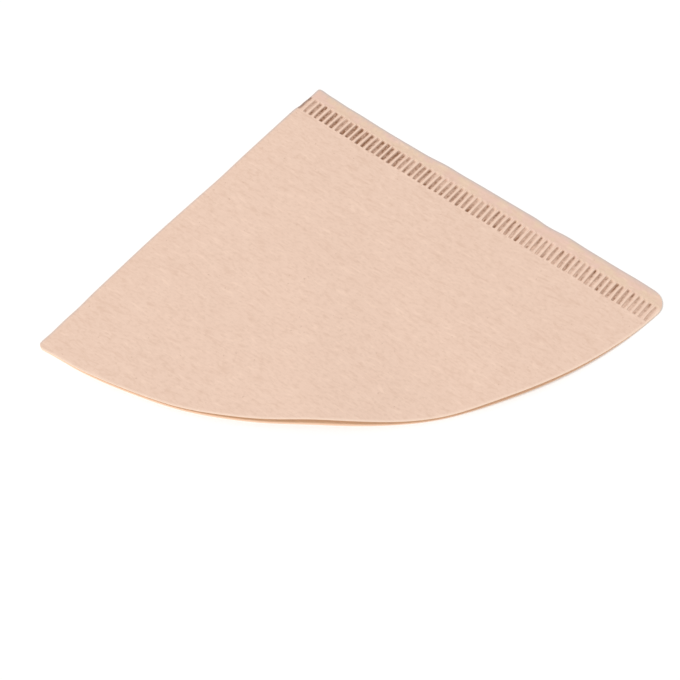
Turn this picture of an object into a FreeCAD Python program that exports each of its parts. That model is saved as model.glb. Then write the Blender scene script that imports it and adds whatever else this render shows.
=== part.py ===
import FreeCAD, Part
import math
import os

import Sketcher

# Paper coffee filter for a 60 degree cone, folded flat.
# A half disc of paper is folded in two along a radius, which gives a quarter disc with two plies.
# A row of crimp marks joins the plies beside the cut edges. The upper ply stands a little open at the rim.
# Millimetres, +Z up: the lower ply lies on Z = 0 with the tip towards +Y and the rim towards -Y,
# the fold on the -X side and the crimped seam on the +X side. The origin is the middle of the footprint.

DRIVING_SIZES = {
    "rim_radius": 120.0,            # from the tip to the rim
    "wedge_angle": 90.0,            # degrees between the fold and the cut edges
    "ply_thickness": 0.22,
    "mouth_gap": 1.5,               # between the plies, in the middle of the rim
    "fold_land": 0.13,              # flat paper between the bend of the fold and the mouth
    "fold_corner_radius": 2.5,
    "seam_corner_radius": 6.0,
    "seam_land": 1.15,              # joined paper between the crimp marks and the mouth
    "crimp_inset": 6.5,             # from the cut edges to the middle of the first mark
    "crimp_skew": 0.5,              # degrees by which the row turns away from the cut edges
    "crimp_start": 1.0,             # from the edge of the fold to the middle of the first mark
    "crimp_pitch": 1.807,
    "crimp_length": 5.5,
    "crimp_width": 1.1,
    "strip_width": 0.75,            # paper strip pressed down inside each mark
    "strip_thickness": 0.2,
    "strip_root": 0.1,              # how far each end of a strip reaches into the plies
}

# The blank that the outline is cut from reaches this many rim radii from the tip.
BLANK_REACH = 1.5

# The opened section is drawn on a plane this many half radii in front of the origin, past the rim.
SECTION_REACH = 1.05

HALF_WEDGE = "(sizes.wedge_angle * 1deg / 2)"
SINE = f"sin({HALF_WEDGE})"
COSINE = f"cos({HALF_WEDGE})"


def corner_run(radius):
    """Distance along an edge from the tip to where a corner of this radius begins."""
    return f"sqrt((sizes.rim_radius - {radius}) ^ 2 - {radius} ^ 2)"


def corner_reach(radius):
    """Sideways reach of the footprint from the tip to the outside of a rounded corner."""
    return f"({corner_run(radius)} * {SINE} - {radius} * {COSINE} + {radius})"


# Plan positions, as expressions on the sheet.
TIP_X = f"({corner_reach('sizes.fold_corner_radius')} - {corner_reach('sizes.seam_corner_radius')}) / 2"
TIP_Y = "sizes.rim_radius / 2"
ROW_X = f"{TIP_X} + sizes.crimp_start * {SINE} - sizes.crimp_inset * {COSINE}"
ROW_Y = f"{TIP_Y} - sizes.crimp_start * {COSINE} - sizes.crimp_inset * {SINE}"
ROW_ANGLE = f"{HALF_WEDGE} - 90deg - sizes.crimp_skew * 1deg"
CRIMP_COUNT = "floor((sizes.rim_radius - sizes.crimp_start - sizes.crimp_width) / sizes.crimp_pitch) + 1"

# The mouth is a flat cone whose point lies where the joined seam meets the fold.
MOUTH_INSET = "(sizes.ply_thickness + sizes.fold_land)"
SEAM_WIDTH = "(sizes.crimp_inset + sizes.crimp_length / 2 + sizes.seam_land)"
MOUTH_RUN = f"(({SEAM_WIDTH} + {MOUTH_INSET} * cos(2 * {HALF_WEDGE})) / sin(2 * {HALF_WEDGE}))"
MOUTH_X = f"({TIP_X} - {MOUTH_RUN} * {SINE} + {MOUTH_INSET} * {COSINE})"
MOUTH_Y = f"({TIP_Y} - {MOUTH_RUN} * {COSINE} - {MOUTH_INSET} * {SINE})"
SECTION_Y = f"(-{SECTION_REACH} * {TIP_Y})"
SECTION_DEPTH = f"({MOUTH_Y} - {SECTION_Y})"
SECTION_LEFT = f"({MOUTH_X} - {SECTION_DEPTH} * tan({HALF_WEDGE}))"
SECTION_RIGHT = f"({MOUTH_X} + {SECTION_DEPTH} * tan({HALF_WEDGE} - sizes.crimp_skew * 1deg))"
SECTION_RISE = f"(sizes.mouth_gap * {SECTION_DEPTH} / ({MOUTH_Y} + {TIP_Y}))"


def make_sizes(doc):
    """Keeps the driving sizes in a spreadsheet, one alias to a row."""
    sheet = doc.addObject("Spreadsheet::Sheet", "sizes")
    for row, (alias, value) in enumerate(DRIVING_SIZES.items(), start=1):
        sheet.set(f"A{row}", alias.replace("_", " "))
        sheet.set(f"B{row}", str(value))
        sheet.setAlias(f"B{row}", alias)
    doc.recompute()
    return sheet


def worked_out(sheet, expression):
    """Value of an expression in millimetres, for the first place of a drawn line."""
    value = sheet.evalExpression(expression)
    return float(getattr(value, "Value", value))


def point(x, y):
    return FreeCAD.Vector(x, y, 0)


def new_sketch(body, name, role, turn_axis=None):
    """A sketch on the body's own base plane, such as XY_Plane, that may turn about an axis of that plane."""
    sketch = body.newObject("Sketcher::SketchObject", name)
    plane = next(feature for feature in body.Origin.OriginFeatures if feature.Role == role)
    sketch.AttachmentSupport = (plane, [""])
    sketch.MapMode = "FlatFace"
    if turn_axis:
        sketch.AttachmentOffset = FreeCAD.Placement(point(0, 0), FreeCAD.Rotation(turn_axis, 1))
    return sketch


def bind(sketch, name, expression, *constraint):
    """Adds a named constraint whose size follows the sheet."""
    index = sketch.addConstraint(Sketcher.Constraint(*constraint))
    sketch.renameConstraint(index, name)
    sketch.setExpression(f"Constraints.{name}", expression)


def bind_point(sketch, sheet, name, geometry, end, across, up):
    """Ties both coordinates of one end of a sketch line to the sheet."""
    bind(sketch, f"{name}_across", across, "DistanceX", -1, 1, geometry, end, worked_out(sheet, across))
    bind(sketch, f"{name}_up", up, "DistanceY", -1, 1, geometry, end, worked_out(sheet, up))


def draw_polygon(sketch, sheet, name, corners):
    """Closed straight-sided profile whose corners are pairs of expressions."""
    places = [point(worked_out(sheet, across), worked_out(sheet, up)) for across, up in corners]
    first = sketch.GeometryCount
    for start, end in zip(places, places[1:] + places[:1]):
        sketch.addGeometry(Part.LineSegment(start, end), False)
    for index, (across, up) in enumerate(corners):
        following = (index + 1) % len(corners)
        sketch.addConstraint(Sketcher.Constraint("Coincident", first + index, 2, first + following, 1))
        bind_point(sketch, sheet, f"{name}_{index}", first + index, 1, across, up)


def draw_bow(sketch, sheet, name, left, right, base, middle):
    """Arc between two ends at the height base, through the height middle half way between them."""
    ends = [point(worked_out(sheet, across), worked_out(sheet, base)) for across in (left, right)]
    crown = point((ends[0].x + ends[1].x) / 2, worked_out(sheet, middle))
    sketch.addGeometry(Part.Arc(ends[0], crown, ends[1]), False)
    arc = sketch.GeometryCount - 1
    left_end, right_end = sorted((1, 2), key=lambda end: sketch.getPoint(arc, end).x)
    bind_point(sketch, sheet, f"{name}_left", arc, left_end, left, base)
    bind_point(sketch, sheet, f"{name}_right", arc, right_end, right, base)
    half_chord = f"(({right}) - ({left})) / 2"
    rise = f"abs(({middle}) - ({base}))"
    radius = f"(({half_chord}) ^ 2 + ({rise}) ^ 2) / (2 * {rise})"
    bind(sketch, f"{name}_radius", radius, "Radius", arc, worked_out(sheet, radius))
    return arc, left_end, right_end


def make_blank(body, sheet):
    """Two plies joined by the half-round bend of the fold, long and wide enough for the outline."""
    sketch = new_sketch(body, "fold_section", "XZ_Plane", turn_axis=FreeCAD.Vector(0, 1, 0))
    sketch.setExpression("AttachmentOffset.Base.x", TIP_X)
    sketch.setExpression("AttachmentOffset.Base.z", f"-({TIP_Y})")
    sketch.setExpression("AttachmentOffset.Rotation.Angle", f"-{HALF_WEDGE}")
    ply = worked_out(sheet, "sizes.ply_thickness")
    reach = worked_out(sheet, f"sizes.rim_radius * {BLANK_REACH}")
    low, high = point(ply, 0), point(ply, 2 * ply)
    low_end, high_end = point(reach, 0), point(reach, 2 * ply)
    sketch.addGeometry(Part.Arc(high, point(0, ply), low), False)
    sketch.addGeometry(Part.LineSegment(low, low_end), False)
    sketch.addGeometry(Part.LineSegment(low_end, high_end), False)
    sketch.addGeometry(Part.LineSegment(high_end, high), False)
    for before, end, after, start in ((0, 2, 1, 1), (3, 2, 0, 1)):
        sketch.addConstraint(Sketcher.Constraint("Tangent", before, end, after, start))
    for before, after in ((1, 2), (2, 3)):
        sketch.addConstraint(Sketcher.Constraint("Coincident", before, 2, after, 1))
    sketch.addConstraint(Sketcher.Constraint("Horizontal", 1))
    sketch.addConstraint(Sketcher.Constraint("Horizontal", 3))
    sketch.addConstraint(Sketcher.Constraint("Vertical", 2))
    bind_point(sketch, sheet, "bend", 0, 3, "sizes.ply_thickness", "sizes.ply_thickness")
    bind(sketch, "bend_radius", "sizes.ply_thickness", "Radius", 0, ply)
    bind(sketch, "reach", f"sizes.rim_radius * {BLANK_REACH}", "DistanceX", -1, 1, 1, 2, reach)
    blank = body.newObject("PartDesign::Pad", "folded_blank")
    blank.Profile = sketch
    blank.SideType = "Symmetric"
    blank.setExpression("Length", f"sizes.rim_radius * {2 * BLANK_REACH}")


def make_open_cone(body, sheet, name, kind, floor):
    """Flat cone from the point of the mouth to a bowed section past the rim, standing on the height floor."""
    section = new_sketch(body, f"{name}_section", "XZ_Plane")
    section.setExpression("AttachmentOffset.Base.z", f"-{SECTION_Y}")
    crown = f"({floor}) + {SECTION_RISE}"
    arc, left_end, right_end = draw_bow(section, sheet, "bow", SECTION_LEFT, SECTION_RIGHT, floor, crown)
    ends = [section.getPoint(arc, left_end), section.getPoint(arc, right_end)]
    section.addGeometry(Part.LineSegment(*ends), False)
    section.addConstraint(Sketcher.Constraint("Coincident", arc, left_end, arc + 1, 1))
    section.addConstraint(Sketcher.Constraint("Coincident", arc, right_end, arc + 1, 2))
    tip = new_sketch(body, f"{name}_tip", "XZ_Plane")
    tip.setExpression("AttachmentOffset.Base.z", f"-{MOUTH_Y}")
    tip.addGeometry(Part.Point(point(worked_out(sheet, MOUTH_X), worked_out(sheet, floor))), False)
    bind_point(tip, sheet, "tip", 0, 1, MOUTH_X, floor)
    cone = body.newObject(kind, name)
    cone.Profile = section
    cone.Sections = [(tip, ["Vertex1"])]
    cone.Ruled = True


def corner_points(sheet, side, size):
    """Where a rounded corner leaves the straight edge, its middle, and where it meets the rim.

    side is -1 at the fold and 1 at the seam.
    """
    half = math.radians(worked_out(sheet, "sizes.wedge_angle") / 2)
    radius = worked_out(sheet, size)
    tip = point(worked_out(sheet, TIP_X), worked_out(sheet, TIP_Y))
    along = point(side * math.sin(half), -math.cos(half))
    outward = point(side * math.cos(half), math.sin(half))
    edge = tip + along * worked_out(sheet, corner_run(size))
    centre = edge - outward * radius
    radial = (centre - tip).normalize()
    middle = (outward + radial).normalize()
    return edge, centre + middle * radius, centre + radial * radius


def cut_outline(body, sheet):
    """Cuts away everything outside the quarter disc with its two rounded corners."""
    sketch = new_sketch(body, "outline", "XY_Plane")
    reach = f"sizes.rim_radius * {2 * BLANK_REACH}"
    corners = [(f"-{reach}", f"-{reach}"), (reach, f"-{reach}"), (reach, reach), (f"-{reach}", reach)]
    draw_polygon(sketch, sheet, "waste", corners)
    tip = point(worked_out(sheet, TIP_X), worked_out(sheet, TIP_Y))
    rim_drop = point(0, worked_out(sheet, "sizes.rim_radius"))
    fold_edge, fold_middle, fold_rim = corner_points(sheet, -1, "sizes.fold_corner_radius")
    seam_edge, seam_middle, seam_rim = corner_points(sheet, 1, "sizes.seam_corner_radius")
    lines = [
        Part.LineSegment(tip, fold_edge),
        Part.Arc(fold_edge, fold_middle, fold_rim),
        Part.Arc(fold_rim, tip - rim_drop, seam_rim),
        Part.Arc(seam_rim, seam_middle, seam_edge),
        Part.LineSegment(seam_edge, tip),
    ]
    fold, fold_corner, rim, seam_corner, seam = (sketch.addGeometry(line, False) for line in lines)
    for before, after in ((fold, fold_corner), (fold_corner, rim), (rim, seam_corner), (seam_corner, seam)):
        sketch.addConstraint(Sketcher.Constraint("Tangent", before, 2, after, 1))
    sketch.addConstraint(Sketcher.Constraint("Coincident", seam, 2, fold, 1))
    sketch.addConstraint(Sketcher.Constraint("Coincident", rim, 3, fold, 1))
    bind_point(sketch, sheet, "tip", fold, 1, TIP_X, TIP_Y)
    arcs = {"rim_radius": rim, "fold_corner_radius": fold_corner, "seam_corner_radius": seam_corner}
    for name, arc in arcs.items():
        bind(sketch, name, f"sizes.{name}", "Radius", arc, worked_out(sheet, f"sizes.{name}"))
    half = math.radians(worked_out(sheet, "sizes.wedge_angle") / 2)
    bind(sketch, "fold_angle", f"-90deg - {HALF_WEDGE}", "Angle", fold, -math.pi / 2 - half)
    bind(sketch, "seam_angle", f"90deg + {HALF_WEDGE}", "Angle", seam, math.pi / 2 + half)
    cut = body.newObject("PartDesign::Pocket", "outline_cut")
    cut.Profile = sketch
    cut.Type = "ThroughAll"
    cut.SideType = "Symmetric"


def make_crimp(body, sheet):
    """Row of marks: in each, a strip cut free along both sides is pressed down through the two plies."""
    slot = new_sketch(body, "crimp_outline", "XY_Plane", turn_axis=FreeCAD.Vector(0, 0, 1))
    slot.setExpression("AttachmentOffset.Base.x", ROW_X)
    slot.setExpression("AttachmentOffset.Base.y", ROW_Y)
    slot.setExpression("AttachmentOffset.Rotation.Angle", ROW_ANGLE)
    half_width, half_length = "sizes.crimp_width / 2", "sizes.crimp_length / 2"
    corners = [
        (f"-{half_width}", f"-{half_length}"),
        (half_width, f"-{half_length}"),
        (half_width, half_length),
        (f"-{half_width}", half_length),
    ]
    draw_polygon(slot, sheet, "slot", corners)
    opening = body.newObject("PartDesign::Pocket", "crimp_opening")
    opening.Profile = slot
    opening.Type = "ThroughAll"
    opening.SideType = "Symmetric"

    side = new_sketch(body, "strip_side", "XZ_Plane", turn_axis=FreeCAD.Vector(0, 1, 0))
    side.setExpression("AttachmentOffset.Base.x", ROW_X)
    side.setExpression("AttachmentOffset.Base.z", f"-({ROW_Y})")
    side.setExpression("AttachmentOffset.Rotation.Angle", f"90deg + {ROW_ANGLE}")
    left = "-(sizes.crimp_length / 2 + sizes.strip_root)"
    right = "sizes.crimp_length / 2 + sizes.strip_root"
    surface = "2 * sizes.ply_thickness"
    top = draw_bow(side, sheet, "top", left, right, surface, "sizes.strip_thickness")
    base = draw_bow(side, sheet, "base", left, right, f"{surface} - sizes.strip_thickness", "0")
    for end in (1, 2):
        places = [side.getPoint(top[0], top[end]), side.getPoint(base[0], base[end])]
        side.addGeometry(Part.LineSegment(*places), False)
        line = side.GeometryCount - 1
        side.addConstraint(Sketcher.Constraint("Coincident", top[0], top[end], line, 1))
        side.addConstraint(Sketcher.Constraint("Coincident", base[0], base[end], line, 2))
    strip = body.newObject("PartDesign::Pad", "pressed_strip")
    strip.Profile = side
    strip.SideType = "Symmetric"
    strip.setExpression("Length", "sizes.strip_width")

    row = body.newObject("PartDesign::LinearPattern", "crimp_row")
    row.Originals = [opening, strip]
    row.Direction = (slot, ["H_Axis"])
    row.Mode = "Spacing"
    row.setExpression("Offset", "sizes.crimp_pitch")
    row.setExpression("Occurrences", CRIMP_COUNT)
    return row


def make_filter(doc, sheet):
    """The folded sheet: blank, opened upper ply, mouth, outline and crimped seam."""
    body = doc.addObject("PartDesign::Body", "folded_filter")
    body.Label = "folded_filter"
    make_blank(body, sheet)
    surface = "2 * sizes.ply_thickness"
    make_open_cone(body, sheet, "raised_ply", "PartDesign::AdditiveLoft", surface)
    make_open_cone(body, sheet, "mouth", "PartDesign::SubtractiveLoft", "sizes.ply_thickness")
    cut_outline(body, sheet)
    body.Tip = make_crimp(body, sheet)
    return body


def check(doc, bodies):
    """Stops before anything is written if a feature failed or a shape isn't sound."""
    for thing in doc.Objects:
        if "Invalid" in thing.State or "Error" in thing.State:
            raise RuntimeError(f"{thing.Name} failed: {thing.State}")
    for body in bodies:
        if body.Shape.isNull() or not body.Shape.isValid():
            raise RuntimeError(f"{body.Label} has no sound shape")


def main():
    doc = FreeCAD.newDocument("coffee_filter")
    sheet = make_sizes(doc)
    bodies = [make_filter(doc, sheet)]
    doc.recompute()
    check(doc, bodies)
    os.makedirs("parts", exist_ok=True)
    for body in bodies:
        body.Shape.exportStep(f"parts/{body.Label}.step")
        print(body.Label, "volume", round(body.Shape.Volume, 2), "solids", len(body.Shape.Solids))


main()
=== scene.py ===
import math

import bpy
from mathutils import Matrix, Vector, geometry


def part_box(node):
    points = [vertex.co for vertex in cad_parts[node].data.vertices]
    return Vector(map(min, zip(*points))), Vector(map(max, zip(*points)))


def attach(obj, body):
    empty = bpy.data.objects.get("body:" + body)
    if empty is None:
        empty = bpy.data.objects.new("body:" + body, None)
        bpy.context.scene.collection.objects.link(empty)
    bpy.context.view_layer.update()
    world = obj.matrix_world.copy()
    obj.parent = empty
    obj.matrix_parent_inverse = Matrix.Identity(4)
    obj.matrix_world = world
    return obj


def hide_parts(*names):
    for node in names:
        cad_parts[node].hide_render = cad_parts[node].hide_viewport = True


# A paper coffee filter for a 60 degree cone, folded flat: two plies of unbleached paper, open at the rim.
# The paper is laid out flat in its own coordinates and then formed. In them the tip is the origin,
# u runs along the fold, away from the cut edges, and v runs along the cut edges, away from the fold.

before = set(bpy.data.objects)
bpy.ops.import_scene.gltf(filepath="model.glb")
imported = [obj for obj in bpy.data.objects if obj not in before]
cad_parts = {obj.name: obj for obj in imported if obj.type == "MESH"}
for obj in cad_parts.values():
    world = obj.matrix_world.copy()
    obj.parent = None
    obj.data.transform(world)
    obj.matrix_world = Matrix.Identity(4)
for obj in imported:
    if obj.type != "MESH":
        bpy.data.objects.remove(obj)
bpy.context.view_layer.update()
LOW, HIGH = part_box("folded_filter")

MM = 0.001

# The folded paper.
RIM_RADIUS = HIGH.y - LOW.y
HALF_WEDGE = math.radians(45)
PLY = 0.22 * MM
MOUTH_GAP = HIGH.z - LOW.z - 2 * PLY
TIP_CORNER = 0.95 * MM
FOLD_CORNER = 2.5 * MM
SEAM_CORNER = 6.0 * MM
FOLD_LAND = 0.13 * MM           # flat paper between the bend of the fold and the mouth
SEAM_LAND = 1.15 * MM           # joined paper between the crimp marks and the mouth

# The row of crimp marks.
CRIMP_COUNT = 66
CRIMP_PITCH = 1.807 * MM
CRIMP_LENGTH = 5.5 * MM
CRIMP_WIDTH = 1.1 * MM
CRIMP_START = 1.0 * MM          # from the fold to the middle of the first mark
CRIMP_INSET = 6.5 * MM          # from the cut edges to the middle of the first mark
CRIMP_SKEW = math.radians(0.5)
LEAN = math.radians(-3.4)       # of the marks in the half next to the rim
LEAN_RUN = (26 * MM, 76 * MM)   # where along the row the marks begin to lean, and where they lean in full
CRIMP_DEPTH = 0.36 * MM
LIP_HEIGHT = 0.13 * MM          # how far the paper stands up between the marks

# The margin beside the cut edges, where the plies part a little.
PARTING_INSET = 2.2 * MM
PARTING_GAP = 0.12 * MM
PARTING_START = 1.2 * MM

# The mesh of the flat paper.
FIELD_STEP = 1.7 * MM
EDGE_STEP = 0.9 * MM
FINE_STEP = 0.35 * MM
TIP_STEP = 0.15 * MM
FIELD_START = 4.2 * MM          # from the marks' ends to the even field
FIRST_LINE = 1.9 * MM           # from the fold to the field's first line
FIELD_ROOM = 1.3 * MM           # least distance from an edge for the points of the field,
LOOSE_ROOM = 0.3 * MM           # for those of the rows beside the marks,
FINE_ROOM = 0.1 * MM            # and for all others
SAME_POINT = 1e-5               # distance in millimetres at which two points are one
BEND_TURNS = (0.25, 0.5, 0.75)  # points round the bend of the fold, in shares of its half turn

# Grid lines of a mark, in shares of its half length and half width, closer together where it ends.
MARK_ROWS = (0, 0.18, 0.36, 0.54, 0.68, 0.78, 0.86, 0.92, 0.965, 1.01, 1.06, 1.14, 1.24)
MARK_COLUMNS = (0.27, 0.5, 0.7, 0.86, 1.0, 1.15, 1.38)
# Rows beside the marks: distance from the marks' ends, and step in shares of the pitch.
LOOSE_ROWS = ((0.7 * MM, 0.25), (1.15 * MM, 0.5), (1.9 * MM, 0.5), (2.9 * MM, 1.0))
# Rows beside the fold, the rim, the cut edges and the first stretch of the fold: distances from the edge.
FOLD_DEPTHS = (FOLD_LAND, FOLD_LAND * 4)
FOLD_ROW_START = 0.7 * MM       # from the marks' ends
RIM_DEPTHS = (0.25 * MM, 0.8 * MM)
RIM_RUN = (0.01, math.pi / 2 - 0.1)     # angles at the tip, from the fold
CUT_DEPTHS = (0.2 * MM, 0.5 * MM)
TIP_DEPTHS = (0.15 * MM, 0.5 * MM)
TIP_RUN = 3 * MM
# A point this far outside the mouth still counts as one of its own.
SEAM_SLACK = 0.05 * MM
FOLD_SLACK = FOLD_LAND * 0.1
LEAST_DEPTH = 0.01 * MM         # of the mouth, so that nothing is divided by zero

# Unevenness of the paper, as humps with a centre, a width and a height.
# The upper ply waves at the rim: degrees from the cut edges, and lift.
RIM_WAVES = ((53.0, 6.0, 0.6 * MM), (37.0, 6.5, -0.6 * MM), (69.0, 5.0, -0.35 * MM))
# The rim runs in and out: degrees from the cut edges, and reach.
RIM_REACH = (
    (53.0, 6.0, -0.85 * MM),
    (37.0, 6.5, 0.9 * MM),
    (69.0, 5.0, 0.45 * MM),
    (87.0, 3.0, -0.4 * MM),
    (45.0, 32.0, -0.2 * MM),
)
# The cut edges run in and out: distance from the fold, and shift along u.
MARGIN_WAVES = (
    (1.5 * MM, 2.2 * MM, -0.32 * MM),
    (11 * MM, 4 * MM, 0.15 * MM),
    (25 * MM, 12 * MM, 0.5 * MM),
    (38 * MM, 8 * MM, 0.3 * MM),
    (45 * MM, 3.2 * MM, -0.17 * MM),
    (66 * MM, 8 * MM, -0.08 * MM),
    (75 * MM, 3.0 * MM, -0.21 * MM),
    (79 * MM, 4 * MM, 0.22 * MM),
    (86 * MM, 4 * MM, -0.2 * MM),
    (102 * MM, 7 * MM, 0.1 * MM),
    (114 * MM, 4 * MM, 0.22 * MM),
)
# The fold runs in and out: distance from the tip, and shift along v.
FOLD_WAVES = (
    (43 * MM, 7 * MM, 0.15 * MM),
    (72 * MM, 16 * MM, -0.28 * MM),
    (103 * MM, 5 * MM, 0.25 * MM),
    (114 * MM, 6 * MM, 0.35 * MM),
)
# Beside the tip and across the first mark the fold is drawn in: distance from the tip, and shift along v.
TIP_WAVES = ((0.0, 2.0 * MM, 0.2 * MM), (3.5 * MM, 4.2 * MM, 0.58 * MM), (8.0 * MM, 1.3 * MM, 0.22 * MM))
COCKLE_SIZE = 26 * MM           # of the soft bumps in the upper ply
COCKLE_LIFT = 0.9 * MM
FLUTTER_SIZE = 9 * MM           # of the changes in the parting along the cut edges

# Where a form or a mask ends and where it is full, as distances from the cut edges,
FULL_PARTING = 0.2 * MM
MARGIN_WAVE_FADE = (4 * MM, 0.0)
MARGIN_MASK = (4.6 * MM, 2.6 * MM)
CUT_MASK = (0.75 * MM, 0.2 * MM)
RIM_HIGHLIGHT_START = (3 * MM, 6 * MM)
FOLD_MASK_FADE = (30 * MM, 8 * MM, 0.6, 1.0)
# from the fold,
PARTING_RISE = (PARTING_START, 6 * MM)
FOLD_WAVE_FADE = (20 * MM, 0.0)
TIP_WAVE_FADE = (2.4 * MM, 0.2 * MM)
FOLD_MASK = (PLY + 0.5 * MM, PLY)
# from the tip,
RIM_HIGHLIGHT_MASK = (RIM_RADIUS - 0.4 * MM, RIM_RADIUS - 0.12 * MM)
# and from the ground, before the mouth is opened.
INNER_MASK = (PLY * 0.3, PLY * 0.9)

# Changes along the row: the marks where one starts and ends, and its values there. The first mark is 0.
FORCE_DROP = (14, 23, 1.0, 0.78)        # marks are pressed less hard past about the twentieth,
FORCE_FADE = (20, 58, 0.0, -0.05)       # a little less still towards the rim
LAST_FORCE = (59, 66, 1.0, 0.6)         # and least beside it
FIRST_SHIFT = (0, 1, 0.8, 0.0)          # the first mark lies nearer the fold
FIRST_NARROWING = (0, 1, 1.5, 1.0)      # and is narrower
LENGTH_CHANGE = (8, 30, 0.96, 1.05)
TILT_GROWTH = (5, 50, 0.75, 1.3)
TILT_RISE = (42, 54, 0.0, 0.13)
MARK_SHADE_BREADTH = (14, 44, 1.25, 0.74)
MARK_SHADE_SLANT = (18, 44)
# Humps along the row: number of the mark, width and height.
FIRST_FORCE = (0.6, 1.6, -0.4)
TILT_DIP = (32, 14, -0.26)

# What differs from mark to mark by chance: lowest and highest value, and seed. The five large seeds were
# picked from 30,000, as those whose values follow the photograph's marks best.
TONE_CHANCE = (0.69, 1.2, 17473)
TILT_CHANCE = (-0.6, 0.6, 25242)        # how much darker a mark is at its outer end
SLOPE_CHANCE = (0.05, 0.9, 19433)       # how much deeper and darker on the side nearest the tip
SHIFT_CHANCE = (-0.31, -0.09, 13)       # of its place along the row, in half widths
ASIDE_CHANCE = (-0.08, -0.02, 15)       # of its place across the row, in half lengths
LENGTH_CHANCE = (0.97, 1.03, 21)
TAPER_CHANCE = (0.0, 0.3, 19)           # how much narrower it is at its ends
TURN_CHANCE = (-0.12, 0.12, 20)
LINE_CHANCE = (0.0, 0.35, 16)           # tone of the dark line along it
LOW_DOT_CHANCE = (0.0, 0.45, 25252)     # and of the dark spots at its inner end
HIGH_DOT_CHANCE = (0.0, 0.4, 28778)     # and its outer one
SLANT_CHANCE = (0.0, 0.7, 31)           # of its dark patch, crushed paper with painted shade

# A mark's form, in shares of its half length and half width: where a feature ends and where it is full.
MARK_ENDS = (1.1, 0.9)
PIT_SIDES = (1.12, 0.8)
SIDE_LIP_ENDS = (1.18, 0.98)
END_LIP_SIDES = (1.3, 0.9)
MARK_SHADE_SIDES = (1.1, 0.66)
LEAST_TAPER = 0.5
FLOOR_LOSS = 0.6                # share of its depth that a sloping floor loses,
FLOOR_GAIN = 0.8                # and what it gains on the side nearest the tip
LEAST_FLOOR = 0.25
LIP_BOOST = 0.1                 # added to a mark's force for the paper that stands up around it
# Humps across a mark or along it: place, width and, where it isn't 1, height.
SIDE_LIP = (1.42, 0.3)
END_LIP = (1.14, 0.06, 0.6)
DARK_LINE = (-0.55, 0.25)
LOW_DOT_ALONG = (-0.8, 0.14)
LOW_DOT_ACROSS = (-0.25, 0.6)
HIGH_DOT_ALONG = (0.8, 0.12)
HIGH_DOT_ACROSS = (-0.1, 0.5)
MARK_SHADE_MIDDLE = -0.12
# How dark the crushed paper and the painted shade in a mark are, and how much of that changes from one side
# of the mark to the other.
MARK_SHADE_TONE = 0.7194
MARK_SHADE_SLOPE = 0.3815

# Colours of the paper as in an ordinary picture, 0 to 255.
PAPER_LIGHT = (237, 206, 186)
PAPER_DEEP = (235.5, 204, 184)
PAPER_PINK = (232, 197, 182)
PAPER_YELLOW = (231, 203, 177)
PAPER_FIBRE = (227, 195, 174)
PAPER_LINE = (221, 187, 165)
# Paler streaks of the crepe, and also the painted highlight on the paper that stands up between the marks.
PAPER_PALE_GRAIN_AND_HIGHLIGHT = (250, 219, 198)
# Painted warm light inside the mouth, where light bounces between the plies.
PAPER_INNER_WARM_LIGHT = (230, 202, 172)
PAPER_GLOW = (255, 222, 180)
PAPER_SPECK = (196, 160, 138)
# Painted shade along the cut edges and the fold.
PAPER_EDGE_SHADE = (196, 187, 186)
# Painted highlight on the cut faces and on a thin strip of the top along the rim.
PAPER_CUT_AND_HIGHLIGHT = (253, 226, 205)
# Crushed paper with painted shade, for the crimp marks.
PAPER_CRUSHED_AND_SHADE = (143, 102, 76)

# Grains of the paper: sizes across the seam, along it and through the paper, then detail and roughness.
DRIFT_GRAIN = ((9 * MM, 16 * MM, 1.0), 1.0, 0.5)
CREASE_GRAIN = ((0.95 * MM, 4.4 * MM, 2 * MM), 2.0, 0.55)
FIBRE_GRAIN = ((0.7 * MM, 1.3 * MM, 0.5 * MM), 2.0, 0.6)
SPECK_GRAIN = ((0.8 * MM, 0.8 * MM, MM), 0.0, 0.5)
BLOTCH_GRAIN = ((1.0 * MM, 0.7 * MM, MM), 2.5, 0.65)
STAIN_GRAIN = ((3 * MM, 4.5 * MM, MM), 2.0, 0.5)
CLOUD_GRAIN = ((3 * MM, 3 * MM, 3 * MM), 2.0, 0.5)
CREASE_DRIFT = 3.5 * MM         # how far the creases wander
SPECK_ASIDE = 32 * MM           # keeps the specks apart from the other grains
# How far a colour covers what lies under it: two values of the grain, and the shares covered there.
CLOUD_COVER = (0.3, 0.7)
STAIN_COVER = (0.4, 0.6)
FIBRE_COVER = (0.4, 0.8, 0.0, 0.95)
LINE_COVER = (0.53, 0.75, 0.0, 0.48)
HIGH_COVER = (0.24, 0.44, 0.4, 0.0)
SPECK_COVER = (0.82, 0.87, 0.0, 0.4)
CRUSH_AND_SHADE_COVER = (0.27, 0.73, 0.5, 1.45)
# The same where a mask is full.
MARGIN_COVER = 0.85
INNER_WARM_LIGHT_COVER = 0.8
LIP_HIGHLIGHT_COVER = 0.55
EDGE_SHADE_COVER = 0.75
CUT_AND_HIGHLIGHT_COVER = 0.85

# The paper's relief and finish.
FIBRE_RELIEF = 0.9
CRUSH_RELIEF = 1.2
RELIEF_STRENGTH = 0.4
RELIEF_DEPTH = 0.07 * MM
PAPER_ROUGHNESS = 0.88
PAPER_SPECULAR = 0.25
GLOW_STRENGTH = 0.09
SHARP_ANGLE = math.radians(52)  # between faces that meet in a hard edge

# The ground and the light.
WHITE = (1, 1, 1, 1)
BLACK = (0, 0, 0, 1)
FLOOR_HALF = 3.0                # metres from its middle to its sides
FLOOR_GLOW = 0.03
SUN_DIRECTION = Vector((-0.62, -0.12, 0.78))
SUN_STRENGTH = 1.55
SUN_WIDTH = math.radians(18)
SKY_STRENGTH = 0.62

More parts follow.
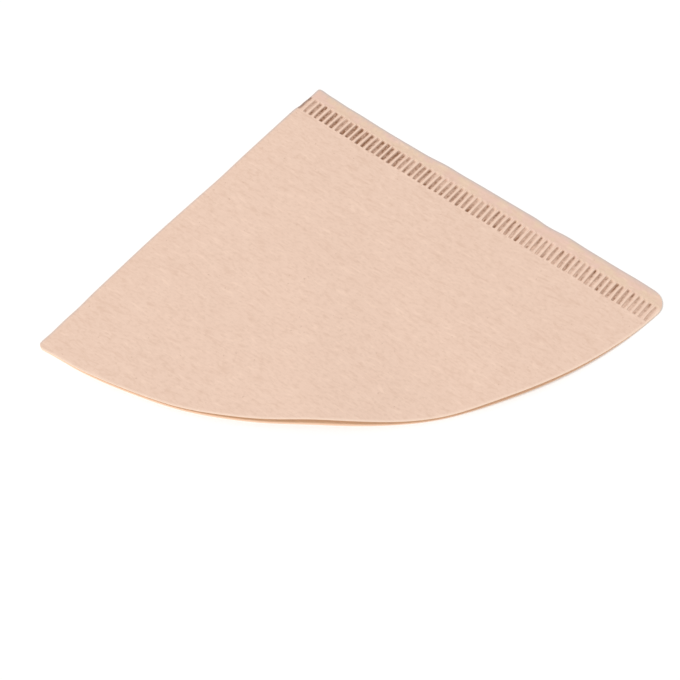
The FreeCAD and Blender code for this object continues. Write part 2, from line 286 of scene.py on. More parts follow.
# The camera looks down on the filter from the rim side. Its place is fitted to the filter's outline
# and its row of marks.
IMAGE_WIDTH = 680
FOCAL_PIXELS = 5000
SENSOR_WIDTH = 36
VIEW_AZIMUTH = math.radians(-9.6585)
VIEW_ELEVATION = math.radians(49.9145)
VIEW_ROLL = math.radians(3.2983)
VIEW_DISTANCE = 1316.58 * MM
VIEW_TARGET = Vector((-4.151, -30.772, 0.9)) * MM
CLIP_START = 0.05
CLIP_END = 20


class Value:
    """A number or vector socket of a node tree. Arithmetic on it adds Math nodes to the tree."""

    def __init__(self, nodes, socket):
        self.nodes = nodes
        self.socket = socket

    def __add__(self, other):
        return self.nodes.math("ADD", self, other)

    def __radd__(self, other):
        return self.nodes.math("ADD", other, self)

    def __sub__(self, other):
        return self.nodes.math("SUBTRACT", self, other)

    def __rsub__(self, other):
        return self.nodes.math("SUBTRACT", other, self)

    def __mul__(self, other):
        return self.nodes.math("MULTIPLY", self, other)

    def __rmul__(self, other):
        return self.nodes.math("MULTIPLY", other, self)

    def __truediv__(self, other):
        return self.nodes.math("DIVIDE", self, other)

    def __rtruediv__(self, other):
        return self.nodes.math("DIVIDE", other, self)

    def __neg__(self):
        return self.nodes.math("MULTIPLY", self, -1)

    def __abs__(self):
        return self.nodes.math("ABSOLUTE", self)


class Nodes:
    """Adds nodes to a shader tree or a geometry tree."""

    def __init__(self, tree):
        self.tree = tree

    def node(self, kind, settings=None, inputs=None, output=0):
        """A node with its settings and its sockets' values or links. Returns one of its outputs."""
        made = self.tree.nodes.new(kind)
        for name, value in (settings or {}).items():
            setattr(made, name, value)
        for key, value in (inputs or {}).items():
            socket = self.find(made.inputs, key)
            if isinstance(value, Value):
                self.tree.links.new(value.socket, socket)
            else:
                socket.default_value = value
        return Value(self, self.find(made.outputs, output))

    def find(self, sockets, key):
        """A socket by its number, its identifier or its name."""
        if isinstance(key, int):
            return sockets[key]
        matches = [socket for socket in sockets if key in (socket.identifier, socket.name)]
        return matches[0]

    def math(self, operation, *values):
        return self.node("ShaderNodeMath", {"operation": operation}, dict(enumerate(values)))

    def parts(self, vector):
        """The three numbers of a vector."""
        return [self.node("ShaderNodeSeparateXYZ", inputs={0: vector}, output=index) for index in range(3)]

    def vector(self, x, y, z):
        return self.node("ShaderNodeCombineXYZ", inputs={0: x, 1: y, 2: z})

    def step(self, value, start, end, first=0.0, last=1.0):
        """Goes smoothly from the first result at start to the last one at end. Either may be the larger."""
        if start > end:
            start, end, first, last = end, start, last, first
        inputs = {"Value": value, "From Min": start, "From Max": end, "To Min": first, "To Max": last}
        return self.node("ShaderNodeMapRange", {"interpolation_type": "SMOOTHSTEP"}, inputs)

    def hump(self, value, centre, width, height=1.0):
        """A rounded hump at centre, which dies away over about twice the width."""
        far = (value - centre) / width
        return self.math("EXPONENT", -(far * far)) * height

    def most(self, first, second):
        return self.math("MAXIMUM", first, second)

    def within(self, value, low, high):
        """The value, kept between two limits."""
        return self.node("ShaderNodeClamp", inputs={"Value": value, "Min": low, "Max": high})

    def mix(self, share, first, second):
        """Blend of two colours, with this share of the second one."""
        inputs = {"Factor_Float": share, "A_Color": first, "B_Color": second}
        return self.node("ShaderNodeMix", {"data_type": "RGBA"}, inputs, output="Result_Color")

    def noise(self, place, detail, roughness=0.5, size=1.0):
        """Noise around 0.5, with features of about this size."""
        inputs = {"Vector": place, "Scale": 1 / size, "Detail": detail, "Roughness": roughness}
        return self.node("ShaderNodeTexNoise", inputs=inputs)


def corner_run(radius):
    """Distance along an edge from the tip to where a corner of this radius begins."""
    return math.sqrt((RIM_RADIUS - radius) ** 2 - radius ** 2)


def tip_place():
    """Where the tip lies in the frame."""
    reach = corner_run(FOLD_CORNER) * math.sin(HALF_WEDGE) + FOLD_CORNER * (1 - math.cos(HALF_WEDGE))
    return Vector((LOW.x + reach, HIGH.y, 0))


def row_place(along, across):
    """A point of the paper from its distance along the row and across it, towards the cut edges."""
    u = CRIMP_INSET + along * math.sin(CRIMP_SKEW) - across * math.cos(CRIMP_SKEW)
    v = CRIMP_START + along * math.cos(CRIMP_SKEW) + across * math.sin(CRIMP_SKEW)
    return Vector((u, v))


def lean_at(along):
    """Sideways run of a mark for its length, at a distance along the row."""
    start, end = LEAN_RUN
    share = min(max((along - start) / (end - start), 0), 1)
    return math.tan(LEAN) * share * share * (3 - 2 * share)


def arc(centre, radius, start, end, step):
    """Points of an arc from one angle to another, its first point left out."""
    count = max(2, round(abs(end - start) * radius / step))
    angles = [start + (end - start) * index / count for index in range(1, count + 1)]
    return [centre + Vector((math.cos(angle), math.sin(angle))) * radius for angle in angles]


def spread(start, end, step):
    """Even numbers from start towards end, without the end."""
    count = max(1, round(abs(end - start) / step))
    return [start + (end - start) * index / count for index in range(count)]


def mark_rows():
    """Places across the row."""
    half = CRIMP_LENGTH / 2
    return sorted({half * share * side for share in MARK_ROWS for side in (-1, 1)})


def mark_columns():
    """Places along the row over one pitch."""
    half = CRIMP_WIDTH / 2
    inner = [half * share * side for share in MARK_COLUMNS for side in (-1, 1)]
    return sorted([-CRIMP_PITCH / 2, 0.0] + inner)


def bend_reach(u):
    """How far the bend of the fold stands out past the flat paper, which fades at both of its ends."""
    start, end = TIP_CORNER, corner_run(FOLD_CORNER)
    if u < start:
        hidden = TIP_CORNER - math.sqrt(max(0, TIP_CORNER ** 2 - (start - u) ** 2))
    elif u > end:
        hidden = FOLD_CORNER - math.sqrt(max(0, FOLD_CORNER ** 2 - (u - end) ** 2))
    else:
        hidden = 0
    return max(0, PLY - hidden)


def outline():
    """Edge of the flat paper: along the bend of the fold, round the rim and back along the cut edges.

    The first points, up to the returned count, lie on the bend.
    """
    tip_turn = math.acos(1 - PLY / TIP_CORNER)
    fold_turn = math.acos(1 - PLY / FOLD_CORNER)
    first = TIP_CORNER * (1 - math.sin(tip_turn))
    last = corner_run(FOLD_CORNER) + FOLD_CORNER * math.sin(fold_turn)
    rows = sorted(row_place(0, across).x for across in mark_rows())
    runs = spread(first, rows[0], FINE_STEP) + rows + spread(rows[-1] + FINE_STEP, last, EDGE_STEP) + [last]
    points = [Vector((u, PLY)) for u in runs]
    bend_count = len(points)

    centre = Vector((corner_run(FOLD_CORNER), FOLD_CORNER))
    rim_start = math.atan2(centre.y, centre.x)
    points += arc(centre, FOLD_CORNER, fold_turn - math.pi / 2, rim_start, FINE_STEP)
    rim_end = math.pi / 2 - math.atan2(SEAM_CORNER, corner_run(SEAM_CORNER))
    seam_side = math.pi / 2 - (CRIMP_INSET + CRIMP_LENGTH) / RIM_RADIUS
    points += arc(Vector((0, 0)), RIM_RADIUS, rim_start, seam_side, EDGE_STEP)
    points += arc(Vector((0, 0)), RIM_RADIUS, seam_side, rim_end, FINE_STEP)
    points += arc(Vector((SEAM_CORNER, corner_run(SEAM_CORNER))), SEAM_CORNER, rim_end, math.pi, FINE_STEP)
    points += [Vector((0, v)) for v in spread(corner_run(SEAM_CORNER), TIP_CORNER, EDGE_STEP)[1:]]
    tip_centre = Vector((TIP_CORNER, TIP_CORNER))
    points += [tip_centre + Vector((-TIP_CORNER, 0))]
    points += arc(tip_centre, TIP_CORNER, math.pi, 1.5 * math.pi - tip_turn, TIP_STEP)[:-1]
    return points, bend_count


def room(point):
    """Distance from a point of the paper to its nearest edge."""
    return min(point.x, point.y - PLY, RIM_RADIUS - point.length, corner_room(point))


def corner_room(point):
    """Distance from a point to a rounded corner of the rim, where it lies beyond the corner's middle."""
    seam_middle = Vector((SEAM_CORNER, corner_run(SEAM_CORNER)))
    if point.x < seam_middle.x and point.y > seam_middle.y:
        return SEAM_CORNER - (point - seam_middle).length
    fold_middle = Vector((corner_run(FOLD_CORNER), FOLD_CORNER))
    if point.x > fold_middle.x and point.y < fold_middle.y:
        return FOLD_CORNER - (point - fold_middle).length
    return RIM_RADIUS


def crimp_points():
    """Grid that the marks are pressed into."""
    rows, columns = mark_rows(), mark_columns()
    alongs = [mark * CRIMP_PITCH + column for mark in range(CRIMP_COUNT) for column in columns]
    points = [row_place(along + lean_at(along) * across, across) for along in alongs for across in rows]
    return [point for point in points if room(point) > FINE_ROOM]


def loosening_points():
    """Rows on both sides of the marks, which get wider apart until they meet the open field."""
    points = []
    for reach, share in LOOSE_ROWS:
        edge = CRIMP_LENGTH / 2 + reach
        step = share * CRIMP_PITCH
        for side in (-1, 1):
            for index in range(round(CRIMP_COUNT / share) + 1):
                points.append(row_place((index - 0.5) * step, side * edge))
    return [point for point in points if room(point) > LOOSE_ROOM]


def field_points():
    """Even triangular grid over the open field."""
    points = []
    rise = FIELD_STEP * math.sqrt(3) / 2
    start = CRIMP_INSET + CRIMP_LENGTH / 2 + FIELD_START
    for line in range(round(RIM_RADIUS / rise)):
        v = FIRST_LINE + line * rise
        first = start + v * math.sin(CRIMP_SKEW) + FIELD_STEP / 2 * (line % 2)
        for index in range(round(RIM_RADIUS / FIELD_STEP)):
            points.append(Vector((first + index * FIELD_STEP, v)))
    return [point for point in points if room(point) > FIELD_ROOM]


def edge_points():
    """Rows beside the fold, the rim and the cut edges."""
    fold_run = spread(CRIMP_INSET + CRIMP_LENGTH / 2 + FOLD_ROW_START, RIM_RADIUS, EDGE_STEP)
    points = [Vector((u, PLY + depth)) for u in fold_run for depth in FOLD_DEPTHS]
    for depth in RIM_DEPTHS:
        points += arc(Vector((0, 0)), RIM_RADIUS - depth, *RIM_RUN, EDGE_STEP)
    cut_run = spread(TIP_CORNER, RIM_RADIUS, EDGE_STEP)
    points += [Vector((u, v)) for v in cut_run for u in CUT_DEPTHS]
    tip_run = spread(TIP_CORNER, TIP_RUN, FINE_STEP)
    points += [Vector((u, PLY + depth)) for u in tip_run for depth in TIP_DEPTHS]
    return [point for point in points if room(point) > FINE_ROOM]


def in_mouth(point):
    """Whether a point lies where the two plies can open."""
    along = (point.y - CRIMP_START) * math.cos(CRIMP_SKEW) + (point.x - CRIMP_INSET) * math.sin(CRIMP_SKEW)
    seam = row_place(along, -(CRIMP_LENGTH / 2 + SEAM_LAND)).x
    return point.x > seam - SEAM_SLACK and point.y > PLY + FOLD_LAND - FOLD_SLACK


def in_parting(point):
    """Whether a point lies in the margin where the two plies part."""
    return point.x < PARTING_INSET and point.y > PARTING_START


def open_faces(plan, triangles):
    """Whether the plies are apart at each face. An edge whose ends are both joined is joined too."""
    def edges_of(corners):
        return [frozenset((corners[index - 1], corners[index])) for index in range(len(corners))]

    apart = [all(in_mouth(plan[i]) for i in corners) or all(in_parting(plan[i]) for i in corners)
             for corners in triangles]
    while True:
        closed = [corners for corners, is_open in zip(triangles, apart) if not is_open]
        ends = {i for corners in closed for i in corners}
        seams = {edge for corners in closed for edge in edges_of(corners)}
        kept = [is_open and all(edge in seams or not edge <= ends for edge in edges_of(corners))
                for corners, is_open in zip(triangles, apart)]
        if kept == apart:
            return apart
        apart = kept


def wall(first, second):
    """Faces between two upright columns of vertices, both from the top down."""
    if len(first) == len(second):
        return [(first[i], first[i + 1], second[i + 1], second[i]) for i in range(len(first) - 1)]
    return [tuple(first) + tuple(reversed(second))]


class PaperMesh:
    """Vertices and faces of the flat paper, with what the forming has to know of each."""

    def __init__(self):
        self.places = []
        self.upper = []
        self.skin = []
        self.faces = []
        self.cut = []

    def vertex(self, point, height, upper, skin):
        self.places.append((point.x, point.y, height))
        self.upper.append(float(upper))
        self.skin.append(skin)
        return len(self.places) - 1

    def face(self, corners, cut=0.0):
        self.faces.append(tuple(corners))
        self.cut.append(cut)


def flat_paper():
    """Both plies laid flat: an outer skin all over, and inner faces where the plies aren't joined."""
    edge, bend_count = outline()
    points = edge + crimp_points() + loosening_points() + field_points() + edge_points()
    scaled = [point / MM for point in points]
    ring = list(range(len(edge)))
    plan, _, triangles, sources, _, _ = geometry.delaunay_2d_cdt(scaled, [], [ring], 1, SAME_POINT)
    plan = [Vector(point) * MM for point in plan]
    place_of = {source: index for index, found in enumerate(sources) for source in found}
    open_ones = open_faces(plan, triangles)
    touched = {i for corners, is_open in zip(triangles, open_ones) if is_open for i in corners}
    joined = {i for corners, is_open in zip(triangles, open_ones) if not is_open for i in corners}

    paper = PaperMesh()
    top = [paper.vertex(point, 2 * PLY, True, 1.0) for point in plan]
    base = [paper.vertex(point, 0, False, 0.0) for point in plan]
    under, over = {}, {}
    for index in sorted(touched):
        if index in joined:
            under[index] = over[index] = paper.vertex(plan[index], PLY, True, 0.0)
        else:
            under[index] = paper.vertex(plan[index], PLY, True, 0.0)
            over[index] = paper.vertex(plan[index], PLY, False, 0.0)
    for corners, is_open in zip(triangles, open_ones):
        paper.face([top[i] for i in corners])
        paper.face([base[i] for i in reversed(corners)])
        if is_open:
            paper.face([under[i] for i in reversed(corners)])
            paper.face([over[i] for i in corners])
    add_edge_walls(paper, plan, [place_of[i] for i in ring], bend_count, top, base, under, over, joined)
    return paper


def add_edge_walls(paper, plan, ring, bend_count, top, base, under, over, joined):
    """The bend of the fold and the cut faces all round."""
    columns = []
    for number, index in enumerate(ring):
        if index in under and index not in joined:
            columns.append(((top[index], under[index]), (over[index], base[index])))
            continue
        reach = bend_reach(plan[index].x) if number < bend_count else 0
        steps = []
        for turn in BEND_TURNS:
            if turn == 0.5 and index in under:
                steps.append(under[index])
                continue
            out = Vector((0, -reach * math.sin(turn * math.pi)))
            height = PLY * (1 + math.cos(turn * math.pi))
            steps.append(paper.vertex(plan[index] + out, height, turn < 0.5, 1 - turn))
        columns.append(((top[index], *steps[:2]), (*steps[1:], base[index])))
    for number, (upper, lower) in enumerate(columns):
        next_upper, next_lower = columns[(number + 1) % len(columns)]
        on_bend = number < bend_count - 1
        for first, second in ((upper, next_upper), (lower, next_lower)):
            for corners in wall(first, second):
                paper.face(corners, cut=0.0 if on_bend else 1.0)


def paper_object(name, paper):
    """An object with the flat paper's mesh and its numbers as attributes."""
    mesh = bpy.data.meshes.new(name)
    mesh.from_pydata(paper.places, [], paper.faces)
    for label, domain, values in (
        ("upper", "POINT", paper.upper),
        ("skin", "POINT", paper.skin),
        ("cut_edge", "FACE", paper.cut),
    ):
        mesh.attributes.new(label, "FLOAT", domain).data.foreach_set("value", values)
    made = bpy.data.objects.new(name, mesh)
    bpy.context.scene.collection.objects.link(made)
    return made


def new_geometry_tree(name, sizes):
    """A geometry tree with a named input for each size, and its inputs as values by name."""
    tree = bpy.data.node_groups.new(name, "GeometryNodeTree")
    tree.interface.new_socket(name="Geometry", in_out="INPUT", socket_type="NodeSocketGeometry")
    tree.interface.new_socket(name="Geometry", in_out="OUTPUT", socket_type="NodeSocketGeometry")
    kinds = {float: "NodeSocketFloat", int: "NodeSocketInt", Vector: "NodeSocketVector"}
    for label, value in sizes.items():
        kind = kinds.get(type(value), "NodeSocketMaterial")
        tree.interface.new_socket(name=label, in_out="INPUT", socket_type=kind)
    nodes = Nodes(tree)
    given = tree.nodes.new("NodeGroupInput")
    inputs = {socket.name: Value(nodes, socket) for socket in given.outputs if socket.name}
    return tree, nodes, inputs


def add_geometry_modifier(thing, tree, sizes):
    """Puts the tree on an object, with each input's value set by its socket's identifier."""
    modifier = thing.modifiers.new(tree.name, "NODES")
    modifier.node_group = tree
    for item in tree.interface.items_tree:
        if item.in_out == "INPUT" and item.name in sizes:
            modifier[item.identifier] = sizes[item.name]


def named(nodes, label):
    """A number kept with the mesh."""
    return nodes.node("GeometryNodeInputNamedAttribute", {"data_type": "FLOAT"}, {"Name": label})


def mouth_opening(nodes, sizes, u, v):
    """How far the plies bow apart, 0 to 1, and the height of the opening between them.

    The opening is a flat cone whose point is where the seam meets the fold.
    """
    du = u - sizes["Seam width"]
    dv = v - sizes["Fold inset"]
    depth = nodes.most((du + dv) * math.cos(HALF_WEDGE), LEAST_DEPTH)
    slant = (dv - du) * math.sin(HALF_WEDGE) / depth
    low, high = -math.tan(HALF_WEDGE), math.tan(HALF_WEDGE - CRIMP_SKEW)
    share = (slant - (low + high) / 2) / ((high - low) / 2)
    bow = nodes.most(1 - share * share, 0.0)
    rim_depth = sizes["Rim radius"] - (sizes["Seam width"] + sizes["Fold inset"]) * math.cos(HALF_WEDGE)
    return bow, sizes["Mouth gap"] * bow * depth / rim_depth


def humps(nodes, place, table):
    """Sum of rounded humps, each given by its centre, width and height."""
    total = 0.0
    for hump in table:
        total = nodes.hump(place, *hump) + total
    return total


def row_position(nodes, sizes, u, v):
    """Distance along the row, as if the marks didn't lean, and distance across it."""
    du = u - sizes["Row inset"]
    dv = v - sizes["Row start"]
    along_row = dv * math.cos(CRIMP_SKEW) + du * math.sin(CRIMP_SKEW)
    across_row = dv * math.sin(CRIMP_SKEW) - du * math.cos(CRIMP_SKEW)
    lean = nodes.step(along_row, *LEAN_RUN) * math.tan(LEAN)
    return along_row - lean * across_row, across_row


def by_mark(nodes, mark, low, high, seed):
    """A number between low and high that is the same all over a mark."""
    inputs = {"Min_001": low, "Max_001": high, "ID": mark, "Seed": seed}
    return nodes.node("FunctionNodeRandomValue", {"data_type": "FLOAT"}, inputs, output="Value_001")


def place_in_mark(nodes, sizes, mark, along_row, across_row):
    """Place from the middle of a mark, in shares of its half length and half width."""
    extent = nodes.step(mark, *LENGTH_CHANGE) * by_mark(nodes, mark, *LENGTH_CHANCE)
    along = across_row / (sizes["Mark length"] * 0.5) / extent + by_mark(nodes, mark, *ASIDE_CHANCE)
    taper = 1 - along * along * by_mark(nodes, mark, *TAPER_CHANCE)
    shift = by_mark(nodes, mark, *SHIFT_CHANCE) + nodes.step(mark, *FIRST_SHIFT)
    across = (along_row - mark * sizes["Mark pitch"]) / (sizes["Mark width"] * 0.5) + shift
    across = (across + along * by_mark(nodes, mark, *TURN_CHANCE)) / nodes.most(taper, LEAST_TAPER)
    return along, across * nodes.step(mark, *FIRST_NARROWING)


def mark_force(nodes, mark):
    """How hard a mark is pressed: from the fourth to the twentieth hardest, and at the rim least."""
    force = nodes.step(mark, *FORCE_DROP) + nodes.step(mark, *FORCE_FADE)
    return force * (1 + nodes.hump(mark, *FIRST_FORCE)) * nodes.step(mark, *LAST_FORCE)


def mark_crush_and_shade(nodes, mark, tone, slope, along, across):
    """Crushed paper with painted shade in a mark: darkest along its side nearest the tip and at its two
    ends.
    """
    tilt = by_mark(nodes, mark, *TILT_CHANCE) * nodes.step(mark, *TILT_GROWTH)
    tilt = tilt + nodes.hump(mark, *TILT_DIP) + nodes.step(mark, *TILT_RISE)
    fill = tone * (1 + tilt * along) * (MARK_SHADE_TONE - across * slope * MARK_SHADE_SLOPE)
    line = nodes.hump(across, *DARK_LINE) * by_mark(nodes, mark, *LINE_CHANCE)
    low_dot = nodes.hump(along, *LOW_DOT_ALONG) * nodes.hump(across, *LOW_DOT_ACROSS)
    low_dot = low_dot * by_mark(nodes, mark, *LOW_DOT_CHANCE)
    high_dot = nodes.hump(along, *HIGH_DOT_ALONG) * nodes.hump(across, *HIGH_DOT_ACROSS)
    high_dot = high_dot * by_mark(nodes, mark, *HIGH_DOT_CHANCE)

    slant = nodes.step(mark, *MARK_SHADE_SLANT) * by_mark(nodes, mark, *SLANT_CHANCE)
    band = nodes.hump(across + along * slant, MARK_SHADE_MIDDLE, nodes.step(mark, *MARK_SHADE_BREADTH))
    shaded = nodes.step(abs(across), *MARK_SHADE_SIDES) * band * nodes.step(abs(along), *MARK_ENDS)
    return shaded * (fill + line + low_dot + high_dot)


def crimp(nodes, sizes, u, v):
    """How deep the paper is pressed, how far it stands up and its crushed and painted shade, from the marks'
    pattern.
    """
    along_row, across_row = row_position(nodes, sizes, u, v)
    mark = nodes.math("ROUND", along_row / sizes["Mark pitch"])
    past_start = nodes.math("GREATER_THAN", mark, -0.5)
    before_end = nodes.math("LESS_THAN", mark, sizes["Mark count"] - 0.5)
    in_row = past_start * before_end
    along, across = place_in_mark(nodes, sizes, mark, along_row, across_row)
    force = mark_force(nodes, mark)
    tone = force * by_mark(nodes, mark, *TONE_CHANCE)
    slope = by_mark(nodes, mark, *SLOPE_CHANCE)

    pit = nodes.step(abs(across), *PIT_SIDES) * nodes.step(abs(along), *MARK_ENDS)
    tip_side = nodes.within(0.5 - across * 0.5, 0.0, 1.0)
    floor = tone * (1 - slope * FLOOR_LOSS) + tip_side * slope * FLOOR_GAIN
    press = pit * nodes.within(floor, LEAST_FLOOR, 1.0) * in_row

    side_lip = nodes.hump(abs(across), *SIDE_LIP) * nodes.step(abs(along), *SIDE_LIP_ENDS)
    end_lip = nodes.hump(abs(along), *END_LIP) * nodes.step(abs(across), *END_LIP_SIDES)
    strength = nodes.within(force + LIP_BOOST, 0.0, 1.0)
    lip = nodes.most(side_lip, end_lip) * (1 - pit) * strength * in_row

    # Painted shade: the marks' dark colour stands partly for the shade in their walls and slits.
    crush_and_shade = nodes.within(mark_crush_and_shade(nodes, mark, tone, slope, along, across) * in_row, 0.0, 1.0)
    return press, lip, crush_and_shade


def formed_paper_tree(sizes):
    """Forms the flat paper: opens the mouth, waves the edges, parts the margin and presses the marks."""
    tree, nodes, given = new_geometry_tree("formed_paper", sizes)
    u, v, height = nodes.parts(nodes.node("GeometryNodeInputPosition"))
    upper, skin = named(nodes, "upper"), named(nodes, "skin")

    bow, gap = mouth_opening(nodes, given, u, v)
    angle = nodes.math("DEGREES", nodes.math("ARCTAN2", u, v))
    reach = nodes.math("SQRT", u * u + v * v)
    share = reach / given["Rim radius"]
    wave = humps(nodes, angle, RIM_WAVES) * share * share * share * bow
    cockle = nodes.noise(nodes.vector(u, v, 0.0), 1.0, size=COCKLE_SIZE) - 0.5
    gap = nodes.most(gap + wave + cockle * COCKLE_LIFT * bow * share, 0.0)

    # Noise lies around 0.5, so twice the noise keeps the parting around its own height.
    margin = nodes.step(u, PARTING_INSET, FULL_PARTING) * nodes.step(v, *PARTING_RISE)
    flutter = nodes.noise(nodes.vector(0.0, v, 0.0), 1.0, size=FLUTTER_SIZE) * 2
    parting = margin * flutter * given["Parting gap"]

    press, lip, crush_and_shade = crimp(nodes, given, u, v)
    rise = upper * (gap + parting) - skin * press * given["Mark depth"] + skin * lip * given["Lip height"]

    stretch = 1 + humps(nodes, angle, RIM_REACH) * share * share * share / given["Rim radius"]
    u_shift = humps(nodes, v, MARGIN_WAVES) * nodes.step(u, *MARGIN_WAVE_FADE)
    v_shift = humps(nodes, u, FOLD_WAVES) * nodes.step(v, *FOLD_WAVE_FADE)
    v_shift = v_shift + humps(nodes, u, TIP_WAVES) * nodes.step(v, *TIP_WAVE_FADE)
    place = nodes.vector(u * stretch + u_shift, v * stretch + v_shift, height + rise)

    fold_side = nodes.step(v, *FOLD_MASK) * nodes.step(u, *FOLD_MASK_FADE)
    masks = {
        # Painted shade with crushed paper in the marks.
        "crush_and_shade": crush_and_shade,
        # Painted highlight on the paper that stands up between the marks.
        "lip": lip * skin,
        "margin": nodes.step(u - v * math.sin(CRIMP_SKEW), *MARGIN_MASK),
        # Painted shade along the cut edges and the fold.
        "edge": skin * nodes.most(nodes.step(u, *CUT_MASK), fold_side),
        # Painted highlight on a thin strip of the top along the rim.
        "rim_highlight": nodes.step(reach, *RIM_HIGHLIGHT_MASK) * nodes.step(u, *RIM_HIGHLIGHT_START),
        # Painted warm light inside the mouth, where light bounces between the plies.
        "inner": (1 - skin) * nodes.step(height, *INNER_MASK),
    }
    shaped = given["Geometry"]
    for label, value in masks.items():
        inputs = {"Geometry": shaped, "Name": label, "Value": value}
        shaped = nodes.node("GeometryNodeStoreNamedAttribute", {"data_type": "FLOAT"}, inputs)
    shaped = nodes.node("GeometryNodeSetPosition", inputs={"Geometry": shaped, "Position": place})
    turn = {"Geometry": shaped, "Translation": given["Tip"], "Rotation": (0, 0, HALF_WEDGE - math.pi)}
    placed = nodes.node("GeometryNodeTransform", inputs=turn)
    real = nodes.node("GeometryNodeRealizeInstances", inputs={"Geometry": placed})
    finished = nodes.node("GeometryNodeSetMaterial", inputs={"Geometry": real, "Material": given["Paper"]})
    out = tree.nodes.new("NodeGroupOutput")
    tree.links.new(finished.socket, out.inputs[0])
    return tree


def plain_mesh(thing, name):
    """Turns an object with modifiers into one with a plain mesh."""
    depsgraph = bpy.context.evaluated_depsgraph_get()
    mesh = bpy.data.meshes.new_from_object(thing.evaluated_get(depsgraph))
    made = bpy.data.objects.new(name, mesh)
    bpy.context.scene.collection.objects.link(made)
    bpy.data.objects.remove(thing)
    return made


def make_filter(material):
    """The folded filter as one closed skin."""
    flat = paper_object("flat_paper", flat_paper())
    sizes = {
        "Rim radius": RIM_RADIUS,
        "Mouth gap": MOUTH_GAP,
        "Seam width": CRIMP_INSET + CRIMP_LENGTH / 2 + SEAM_LAND,
        "Fold inset": PLY + FOLD_LAND,
        "Parting gap": PARTING_GAP,
        "Mark count": CRIMP_COUNT,
        "Mark pitch": CRIMP_PITCH,
        "Mark length": CRIMP_LENGTH,
        "Mark width": CRIMP_WIDTH,
        "Mark depth": CRIMP_DEPTH,
        "Lip height": LIP_HEIGHT,
        "Row start": CRIMP_START,
        "Row inset": CRIMP_INSET,
        "Tip": tip_place(),
        "Paper": material,
    }
    add_geometry_modifier(flat, formed_paper_tree(sizes), sizes)
    made = plain_mesh(flat, "filter_paper")
    made.data.shade_smooth()
    made.data.set_sharp_from_angle(angle=SHARP_ANGLE)
    return made


def linear(colour):
    """A shader's colour from one with values of 0 to 255."""
    def channel(value):
        share = value / 255
        return share / 12.92 if share <= 0.04045 else ((share + 0.055) / 1.055) ** 2.4
    return (*map(channel, colour), 1)


def paper_material():
    """Unbleached filter paper: matte, faintly creped along the seam, darker where crushed and where shade is
    painted.
    """
    material = bpy.data.materials.new("unbleached_paper")
    material.use_nodes = True
    nodes = Nodes(material.node_tree)
    shader = material.node_tree.nodes["Principled BSDF"]

    def kept(label):
        """A number that the forming keeps with the mesh."""
        return nodes.node("ShaderNodeAttribute", {"attribute_name": label}, output="Fac")

    place = nodes.node("ShaderNodeTexCoord", output="Object")
    turn = {"Vector": place, "Rotation": (0, 0, math.pi - HALF_WEDGE)}
    u, v, w = nodes.parts(nodes.node("ShaderNodeMapping", inputs=turn))

    def grain(size, detail, roughness, aside=0.0):
        """Noise with its own size in each direction."""
        place = nodes.vector((u + aside) / size[0], v / size[1], w / size[2])
        return nodes.noise(place, detail, roughness)

    # Creases run along the seam and wander a little.
    drift = grain(*DRIFT_GRAIN) - 0.5
    crease = grain(*CREASE_GRAIN, aside=drift * CREASE_DRIFT)
    fibre = grain(*FIBRE_GRAIN)
    cloud = grain(*CLOUD_GRAIN)
    speck = grain(*SPECK_GRAIN, aside=SPECK_ASIDE)
    blotch = grain(*BLOTCH_GRAIN)
    stain = grain(*STAIN_GRAIN)

    colour = nodes.mix(nodes.step(cloud, *CLOUD_COVER), linear(PAPER_LIGHT), linear(PAPER_DEEP))
    tint = nodes.mix(nodes.step(stain, *STAIN_COVER), linear(PAPER_PINK), linear(PAPER_YELLOW))
    colour = nodes.mix(kept("margin") * MARGIN_COVER, colour, tint)
    # Painted highlight on the cut faces and on a thin strip of the top along the rim.
    cut = nodes.within(kept("cut_edge") + kept("rim_highlight"), 0.0, 1.0)
    crush_and_shade = nodes.within(kept("crush_and_shade") * nodes.step(blotch, *CRUSH_AND_SHADE_COVER), 0.0, 1.0)
    for share, layer in (
        # Painted warm light inside the mouth, where light bounces between the plies.
        (kept("inner") * INNER_WARM_LIGHT_COVER, PAPER_INNER_WARM_LIGHT),
        (nodes.step(fibre, *FIBRE_COVER), PAPER_FIBRE),
        (nodes.step(crease, *LINE_COVER), PAPER_LINE),
        (nodes.step(crease, *HIGH_COVER), PAPER_PALE_GRAIN_AND_HIGHLIGHT),
        (nodes.step(speck, *SPECK_COVER), PAPER_SPECK),
        # Painted highlight on the paper that stands up between the marks.
        (kept("lip") * LIP_HIGHLIGHT_COVER, PAPER_PALE_GRAIN_AND_HIGHLIGHT),
        # Painted shade along the cut edges and the fold.
        (kept("edge") * EDGE_SHADE_COVER, PAPER_EDGE_SHADE),
        # Painted highlight on the cut faces and along the rim.
        (cut * CUT_AND_HIGHLIGHT_COVER, PAPER_CUT_AND_HIGHLIGHT),
        # Painted shade with crushed paper in the marks.
        (crush_and_shade, PAPER_CRUSHED_AND_SHADE),
    ):
        colour = nodes.mix(share, colour, linear(layer))
    material.node_tree.links.new(colour.socket, shader.inputs["Base Color"])

    # Light that comes through the upper ply warms the inside of the mouth.
    glow = nodes.mix(kept("inner"), BLACK, linear(PAPER_GLOW))
    material.node_tree.links.new(glow.socket, shader.inputs["Emission Color"])
    shader.inputs["Emission Strength"].default_value = GLOW_STRENGTH

    relief = fibre * FIBRE_RELIEF + crease + blotch * kept("crush_and_shade") * CRUSH_RELIEF
    inputs = {"Strength": RELIEF_STRENGTH, "Distance": RELIEF_DEPTH, "Height": relief}
    bump = nodes.node("ShaderNodeBump", inputs=inputs)
    material.node_tree.links.new(bump.socket, shader.inputs["Normal"])
    shader.inputs["Roughness"].default_value = PAPER_ROUGHNESS
    shader.inputs["Specular IOR Level"].default_value = PAPER_SPECULAR
    return material


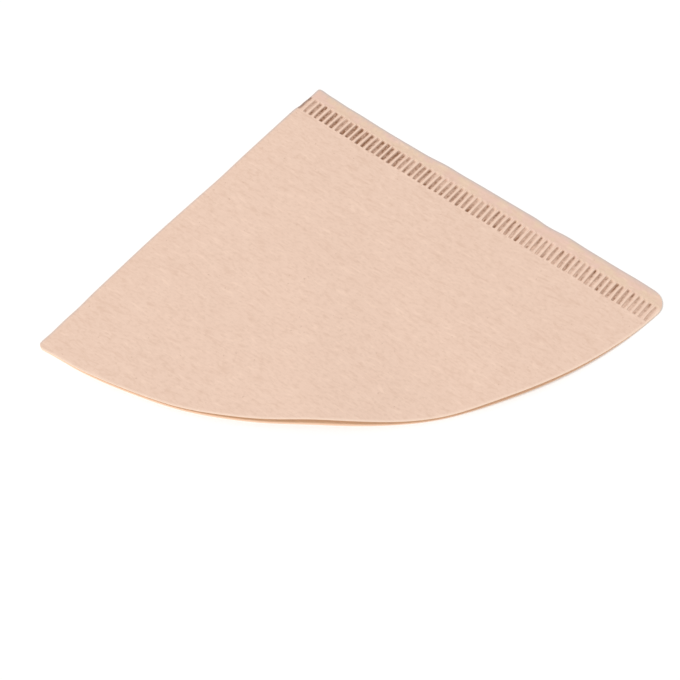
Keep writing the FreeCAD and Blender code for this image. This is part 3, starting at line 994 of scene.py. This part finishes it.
def make_floor():
    """White ground that keeps the filter's shadow."""
    mesh = bpy.data.meshes.new("floor")
    corners = [(x * FLOOR_HALF, y * FLOOR_HALF, 0) for x, y in ((-1, -1), (1, -1), (1, 1), (-1, 1))]
    mesh.from_pydata(corners, [], [(0, 1, 2, 3)])
    floor = bpy.data.objects.new("floor", mesh)
    bpy.context.scene.collection.objects.link(floor)
    material = bpy.data.materials.new("white_ground")
    material.use_nodes = True
    shader = material.node_tree.nodes["Principled BSDF"]
    shader.inputs["Base Color"].default_value = WHITE
    shader.inputs["Roughness"].default_value = 1.0
    shader.inputs["Specular IOR Level"].default_value = 0.0
    shader.inputs["Emission Color"].default_value = WHITE
    shader.inputs["Emission Strength"].default_value = FLOOR_GLOW
    mesh.materials.append(material)


def make_light():
    """Soft light from the left over an even sky, which the camera sees as white."""
    sun = bpy.data.lights.new("window", "SUN")
    sun.energy = SUN_STRENGTH
    sun.angle = SUN_WIDTH
    lamp = bpy.data.objects.new("window", sun)
    lamp.rotation_mode = "QUATERNION"
    lamp.rotation_quaternion = SUN_DIRECTION.to_track_quat("Z", "Y")
    bpy.context.scene.collection.objects.link(lamp)

    world = bpy.data.worlds.new("sky")
    world.use_nodes = True
    nodes = Nodes(world.node_tree)
    background = world.node_tree.nodes["Background"]
    seen = 0.0
    for ray in ("Is Camera Ray", "Is Glossy Ray", "Is Transmission Ray"):
        seen = nodes.node("ShaderNodeLightPath", output=ray) + seen
    strength = nodes.within(seen, 0.0, 1.0) * (1 - SKY_STRENGTH) + SKY_STRENGTH
    world.node_tree.links.new(strength.socket, background.inputs["Strength"])
    background.inputs["Color"].default_value = WHITE
    bpy.context.scene.world = world


def make_camera():
    """Camera at the photograph's angle, aimed at a point of the filter."""
    back = Vector((
        math.sin(VIEW_AZIMUTH) * math.cos(VIEW_ELEVATION),
        -math.cos(VIEW_AZIMUTH) * math.cos(VIEW_ELEVATION),
        math.sin(VIEW_ELEVATION),
    ))
    level = Vector((math.cos(VIEW_AZIMUTH), math.sin(VIEW_AZIMUTH), 0))
    steep = back.cross(level)
    right = level * math.cos(VIEW_ROLL) + steep * math.sin(VIEW_ROLL)
    up = back.cross(right)
    data = bpy.data.cameras.new("camera")
    data.sensor_width = SENSOR_WIDTH
    data.lens = FOCAL_PIXELS / IMAGE_WIDTH * SENSOR_WIDTH
    data.clip_start = CLIP_START
    data.clip_end = CLIP_END
    camera = bpy.data.objects.new("camera", data)
    place = VIEW_TARGET + back * VIEW_DISTANCE
    turn = Matrix((right, up, back)).transposed()
    camera.matrix_world = Matrix.Translation(place) @ turn.to_4x4()
    bpy.context.scene.collection.objects.link(camera)
    bpy.context.scene.camera = camera


bpy.context.scene.view_settings.view_transform = "Standard"
make_camera()
make_floor()
make_light()

filter_paper = make_filter(paper_material())
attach(filter_paper, "root")
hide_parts("folded_filter")
